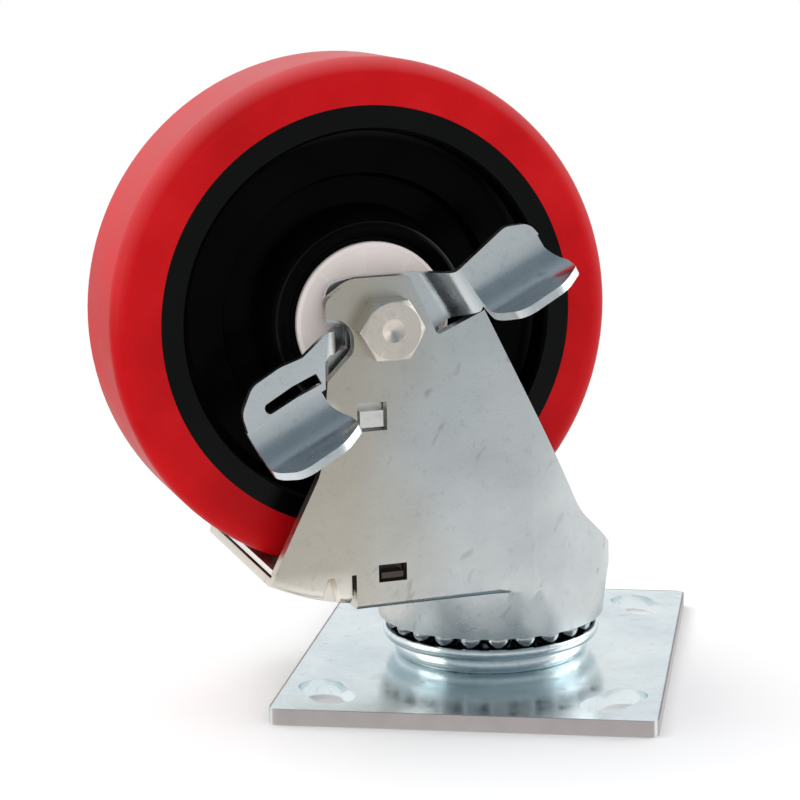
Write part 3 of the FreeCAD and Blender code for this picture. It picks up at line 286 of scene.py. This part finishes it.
def moulded_core():
    """Glass filled nylon: the mould polished its rim and the lip round the hub, the hollow between is dull."""
    material, tree, shader, coords = moulded("glass filled black nylon", "020202", "050505", 0.2, 0.1, 0.1)
    turned, distance = axle_distance(tree, coords)
    beside_lip = add_node(tree, "ShaderNodeMath", "Value", {0: distance, 1: 25 * MM}, operation="SUBTRACT")
    off_lip = add_node(tree, "ShaderNodeMath", "Value", {0: beside_lip}, operation="ABSOLUTE")
    lip_shine = add_node(tree, "ShaderNodeMapRange", "Result",
                         {"Value": off_lip, "From Max": 1.3 * MM, "To Min": 0.5, "To Max": 0.0})
    rim_shine = add_node(tree, "ShaderNodeMapRange", "Result",
                         {"Value": distance, "From Min": 44.0 * MM, "From Max": 46.2 * MM, "To Min": 0.035,
                          "To Max": 0.14})
    shine = add_node(tree, "ShaderNodeMath", "Value", {0: lip_shine, 1: rim_shine}, operation="ADD")
    tree.links.new(shine, shader.inputs["Specular IOR Level"])
    return material


# Broad plate and pedals: smooth bluish zinc that mirrors what stands on it.
bright_zinc = metal_surface("bright zinc plate", ("D6E2E6", "E0EAED", "E8EFF0"), 0.2, 0.06, 0.25, sheared=True)
pedal_zinc = metal_surface("zinc plated pedal", ("D0D6D9", "DADFE1", "E1E5E6"), 0.27, 0.08, 0.2)
# Deep-drawn fork: greyer and duller, warm towards its rear edge, with a painted highlight on the cradle's bend
# below the tread.
pressed_zinc = metal_surface("zinc plated pressing", ("C4C9CB", "CED3D4", "D6DADA"), 0.3, 0.14, 0.32,
                            tinge="CAC3B6")
# The brake shoe's plating is thin and nearly white; its low tab gets painted shade.
shoe_zinc = metal_surface("zinc plated brake shoe", ("EEECE6", "F3F1EC", "F7F5F1"), 0.34, 0.1, 0.2, shaded_tab=True)
# Bolt and nuts: a warmer, thicker coat with rounded highlights.
bolt_zinc = metal_surface("zinc plated fastener", ("DCD2C6", "E6DDD2", "EEE6DB"), 0.42, 0.05, 0.3)
# Washers, bushing and bearing: bare ground steel, grey and even.
hard_steel = metal_surface("hardened steel", ("93969A", "A1A4A6", "ADAFAF"), 0.26, 0.03, 0.2)
# Balls and rollers: lapped smooth, so each shows a sharp point of light.
ball_steel = metal_surface("polished ball steel", ("9A9DA0", "A7AAAC", "B3B5B6"), 0.12, 0.0, 0.0)
tread_red = cast_tread()
core_black = moulded_core()
# Thread guards and the lock nut's insert: undyed nylon, matt and faintly pink.
nylon_white = moulded("natural white nylon", "DBD1CC", "E3DAD6", 0.42, 0.3, 0.06)[0]

FINISHES = [
    (bright_zinc, ("top_plate", "lower_race")),
    (pressed_zinc, ("fork",)),
    (pedal_zinc, ("brake_lever",)),
    (shoe_zinc, ("brake_shoe",)),
    (bolt_zinc, ("kingpin", "kingpin_nut", "axle_bolt", "axle_nut")),
    (hard_steel, ("load_washer", "lever_washer_inner", "lever_washer_outer", "spacer_collar",
                  "spanner_bushing", "bearing_sleeve", "lever_pin")),
    (ball_steel, ("main_balls", "upper_balls", "bearing_rollers")),
    (tread_red, ("tread",)),
    (core_black, ("wheel_core",)),
    (nylon_white, ("thread_guard_near", "thread_guard_far")),
]

for material, names in FINISHES:
    for name in names:
        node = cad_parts[name]
        node.data.materials.clear()
        node.data.materials.append(material)

# Every cut or moulded edge is a little round, by these millimetres, so it catches a line of light.
EDGES = {"fork": 0.35, "top_plate": 0.5, "brake_lever": 0.35, "brake_shoe": 0.3, "lower_race": 0.25,
         "axle_nut": 0.2, "kingpin_nut": 0.2, "axle_bolt": 0.2, "thread_guard_near": 0.3, "thread_guard_far": 0.3}

for name, width in EDGES.items():
    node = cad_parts[name]
    weld = node.modifiers.new("weld", "WELD")
    weld.merge_threshold = 0.02 * MM
    edge = node.modifiers.new("round_edges", "BEVEL")
    edge.width = width * MM
    edge.segments = 2
    edge.limit_method = "ANGLE"
    edge.angle_limit = math.radians(38)
    even = node.modifiers.new("even_faces", "WEIGHTED_NORMAL")
    even.keep_sharp = True


# Turned and threaded details

def start_piece(name):
    """Names the new primitive and opens it for editing, with all of it selected."""
    piece = bpy.context.object
    piece.name = name
    piece.data.name = name
    bpy.ops.object.mode_set(mode="EDIT")
    bpy.ops.mesh.select_all(action="SELECT")
    return piece


def turn_mesh(angle, axis):
    """Right-handed turn about the origin; the operator itself counts angles the other way."""
    bpy.ops.transform.rotate(value=-angle, orient_axis=axis, orient_type="GLOBAL", center_override=(0, 0, 0))


def turned_ring(name, profile):
    """Ring drawn as a circle, then extruded and resized through each (radius, height) of a closed profile."""
    bpy.ops.object.select_all(action="DESELECT")
    bpy.ops.mesh.primitive_circle_add(vertices=96, radius=profile[0][0] * MM, location=(0, 0, 0))
    piece = start_piece(name)
    bpy.ops.transform.translate(value=(0, 0, profile[0][1] * MM))
    for (radius, height), (wider, higher) in zip(profile, profile[1:] + profile[:1]):
        bpy.ops.mesh.extrude_region_move()
        bpy.ops.transform.resize(value=(wider / radius, wider / radius, 1), center_override=(0, 0, 0))
        bpy.ops.transform.translate(value=(0, 0, (higher - height) * MM))
    bpy.ops.object.mode_set(mode="OBJECT")
    return piece


def thread(name, radius, pitch, low, high):
    """Helical ridge of a screw thread: a small triangle swept round by a screw."""
    bpy.ops.object.select_all(action="DESELECT")
    bpy.ops.mesh.primitive_circle_add(vertices=3, radius=pitch * 0.6 * MM, location=(0, 0, 0))
    piece = start_piece(name)
    turn_mesh(math.radians(90), "X")
    turn_mesh(math.radians(90), "Y")
    bpy.ops.transform.resize(value=(0.9, 1, 0.8), center_override=(0, 0, 0))
    bpy.ops.transform.translate(value=(radius * MM, 0, (low + pitch * 0.5) * MM))
    bpy.ops.object.mode_set(mode="OBJECT")
    rise = high - low - pitch
    turns = rise / pitch
    screw = piece.modifiers.new("sweep", "SCREW")
    screw.axis = "Z"
    screw.angle = math.tau * turns
    screw.screw_offset = rise * MM
    screw.steps = int(36 * turns)
    screw.render_steps = screw.steps
    bpy.ops.object.modifier_apply(modifier="sweep")
    return piece


def fit_on_axle(piece, body, material):
    """Lays the whole mesh along the axle, smooths its round faces and puts the piece on its body."""
    bpy.ops.object.mode_set(mode="EDIT")
    bpy.ops.mesh.select_all(action="SELECT")
    bpy.ops.mesh.remove_doubles(threshold=0.005 * MM)
    bpy.ops.mesh.normals_make_consistent(inside=False)
    turn_mesh(ALONG_AXLE[0], "X")
    turn_mesh(ALONG_AXLE[2], "Z")
    bpy.ops.transform.translate(value=AXLE)
    bpy.ops.object.mode_set(mode="OBJECT")
    bpy.ops.object.shade_smooth_by_angle(angle=math.radians(35))
    piece.data.materials.append(material)
    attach(piece, body)


# On the far side the nut's nylon insert and the bolt's last threads show; heights run towards the near side.
INSERT_PROFILE = [(4.9, -39.3), (6.5, -39.3), (6.5, -39.8), (6.2, -40.1), (5.2, -40.1), (4.9, -39.9)]
fit_on_axle(turned_ring("nut_insert", INSERT_PROFILE), "fork", nylon_white)
fit_on_axle(thread("axle_bolt_thread", 4.55, 0.7, -40.9, -39.4), "fork", bolt_zinc)


# Floor, light and camera

CASTOR_MIDDLE = Vector((-20, -10, 70)) * MM


def mirrored_rays(tree, ray):
    """1 for the rays that metal and clear pieces send out."""
    return add_node(tree, "ShaderNodeMath", "Value",
                    {0: ray.outputs["Is Glossy Ray"], 1: ray.outputs["Is Transmission Ray"]}, operation="MAXIMUM")


def studio_floor():
    """Pale floor that takes the castor's shadow and fades into the white backdrop."""
    bpy.ops.object.select_all(action="DESELECT")
    bpy.ops.mesh.primitive_plane_add(size=3.0, location=(0, 0, -0.2 * MM))
    floor = bpy.context.object
    floor.name = "studio_floor"
    material, tree, shader, coords = new_material("pale studio floor")
    shader.inputs["Base Color"].default_value = srgb("FBFBFB")
    shader.inputs["Roughness"].default_value = 0.8
    shader.inputs["Specular IOR Level"].default_value = 0.1
    white = add_node(tree, "ShaderNodeEmission", "Emission", {"Color": srgb("FFFFFF"), "Strength": 1.0})
    # Mirrors see the sweep white beside and behind the castor, and dimmer towards the viewer.
    place = add_node(tree, "ShaderNodeSeparateXYZ", inputs={"Vector": coords})
    depth = add_node(tree, "ShaderNodeMapRange", "Result",
                     {"Value": place.outputs["Y"], "From Min": -340 * MM, "From Max": -40 * MM})
    tone = add_node(tree, "ShaderNodeValToRGB", "Color", {"Fac": depth}, [(0.0, "BFC3C5"), (1.0, "FFFFFF")])
    mirrored = add_node(tree, "ShaderNodeEmission", "Emission", {"Color": tone, "Strength": 1.0})
    # For the camera the floor turns white between 100 and 300 mm from the swivel axis.
    away = add_node(tree, "ShaderNodeVectorMath", "Value", {0: coords}, operation="LENGTH")
    fade = add_node(tree, "ShaderNodeMapRange", "Result",
                    {"Value": away, "From Min": 100 * MM, "From Max": 300 * MM})
    ray = add_node(tree, "ShaderNodeLightPath")
    faded = add_node(tree, "ShaderNodeMath", "Value", {0: fade, 1: ray.outputs["Is Camera Ray"]},
                     operation="MULTIPLY")
    seen = add_node(tree, "ShaderNodeMixShader", "Shader", {0: faded, 1: shader.outputs["BSDF"], 2: white})
    surface = add_node(tree, "ShaderNodeMixShader", "Shader", {0: mirrored_rays(tree, ray), 1: seen, 2: mirrored})
    tree.links.new(surface, tree.nodes["Material Output"].inputs["Surface"])
    floor.data.materials.append(material)


def studio_world():
    """White backdrop for the camera; mirrors see it white behind and beside, and greyer overhead and in front."""
    world = bpy.data.worlds.new("studio")
    bpy.context.scene.world = world
    world.use_nodes = True
    tree = world.node_tree
    dim = tree.nodes["Background"]
    dim.inputs["Strength"].default_value = 0.78
    dim.inputs["Color"].default_value = (0.97, 0.98, 1.0, 1.0)
    white = add_node(tree, "ShaderNodeBackground", "Background", {"Color": srgb("FFFFFF"), "Strength": 1.0})
    way = add_node(tree, "ShaderNodeSeparateXYZ",
                   inputs={"Vector": add_node(tree, "ShaderNodeTexCoord", "Generated")})
    backward = add_node(tree, "ShaderNodeMapRange", "Result",
                        {"Value": way.outputs["Y"], "From Min": -1.0, "From Max": 1.0})
    depth = add_node(tree, "ShaderNodeValToRGB", "Color", {"Fac": backward},
                     [(0.0, "B4BABD"), (0.3, "BCC2C5"), (0.5, "F4F6F7"), (0.62, "FFFFFF")])
    upward = add_node(tree, "ShaderNodeMapRange", "Result", {"Value": way.outputs["Z"]})
    height = add_node(tree, "ShaderNodeValToRGB", "Color", {"Fac": upward},
                      [(0.0, "FFFFFF"), (0.3, "F8FAFB"), (0.6, "A0ABB4"), (1.0, "939FA8")])
    shade = add_node(tree, "ShaderNodeMix", MIX_RESULT, {MIX_FACTOR: 1.0, MIX_A: depth, MIX_B: height},
                     data_type="RGBA", blend_type="MULTIPLY")
    mirror = add_node(tree, "ShaderNodeBackground", "Background", {"Color": shade, "Strength": 1.0})
    ray = add_node(tree, "ShaderNodeLightPath")
    lit = add_node(tree, "ShaderNodeMixShader", "Shader",
                   {0: mirrored_rays(tree, ray), 1: dim.outputs["Background"], 2: mirror})
    surface = add_node(tree, "ShaderNodeMixShader", "Shader", {0: ray.outputs["Is Camera Ray"], 1: lit, 2: white})
    tree.links.new(surface, tree.nodes["World Output"].inputs["Surface"])


def soft_light(name, place, size, power, colour, mirrored):
    """Rectangular lamp that looks at the castor's middle; only a mirrored one shows in the metal."""
    data = bpy.data.lights.new(name, "AREA")
    data.shape = "RECTANGLE"
    data.size, data.size_y = size
    data.energy = power
    data.color = colour
    light = bpy.data.objects.new(name, data)
    light.location = place
    light.rotation_euler = (Vector(place) - CASTOR_MIDDLE).to_track_quat("Z", "Y").to_euler()
    light.visible_glossy = mirrored
    bpy.context.collection.objects.link(light)


studio_floor()
studio_world()
soft_light("key_left", (-0.6, 0.2, 1.0), (0.9, 0.9), 6.0, (1.0, 0.99, 0.97), False)
soft_light("low_left", (-0.75, -0.35, 0.14), (0.5, 0.3), 1.2, (1.0, 0.99, 0.96), True)
soft_light("side_right", (0.9, 0.3, 0.4), (0.8, 0.8), 2.6, (0.97, 0.985, 1.0), True)
soft_light("front", (0.35, -1.0, 0.6), (0.9, 0.9), 2.6, (1.0, 1.0, 1.0), False)

# The camera stands 630 mm off, a little above the plate, with the photograph's slight roll.
AZIMUTH = math.radians(9.65)
ELEVATION = math.radians(11.4)
ROLL = math.radians(-1.23)
DISTANCE = 630.5 * MM
AIM = Vector((-20.96, -11.05, 71.87)) * MM
back = Vector((math.sin(AZIMUTH) * math.cos(ELEVATION), -math.cos(AZIMUTH) * math.cos(ELEVATION),
               math.sin(ELEVATION)))
camera_data = bpy.data.cameras.new("camera")
camera_data.sensor_width = 36.0
camera_data.lens = 111.4
camera_data.clip_start = 0.01
camera = bpy.data.objects.new("camera", camera_data)
camera.location = AIM + back * DISTANCE
camera.rotation_euler = back.to_track_quat("Z", "Y").to_euler()
camera.rotation_euler.rotate_axis("Z", ROLL)
bpy.context.collection.objects.link(camera)
bpy.context.scene.camera = camera
bpy.context.scene.view_settings.view_transform = "Standard"
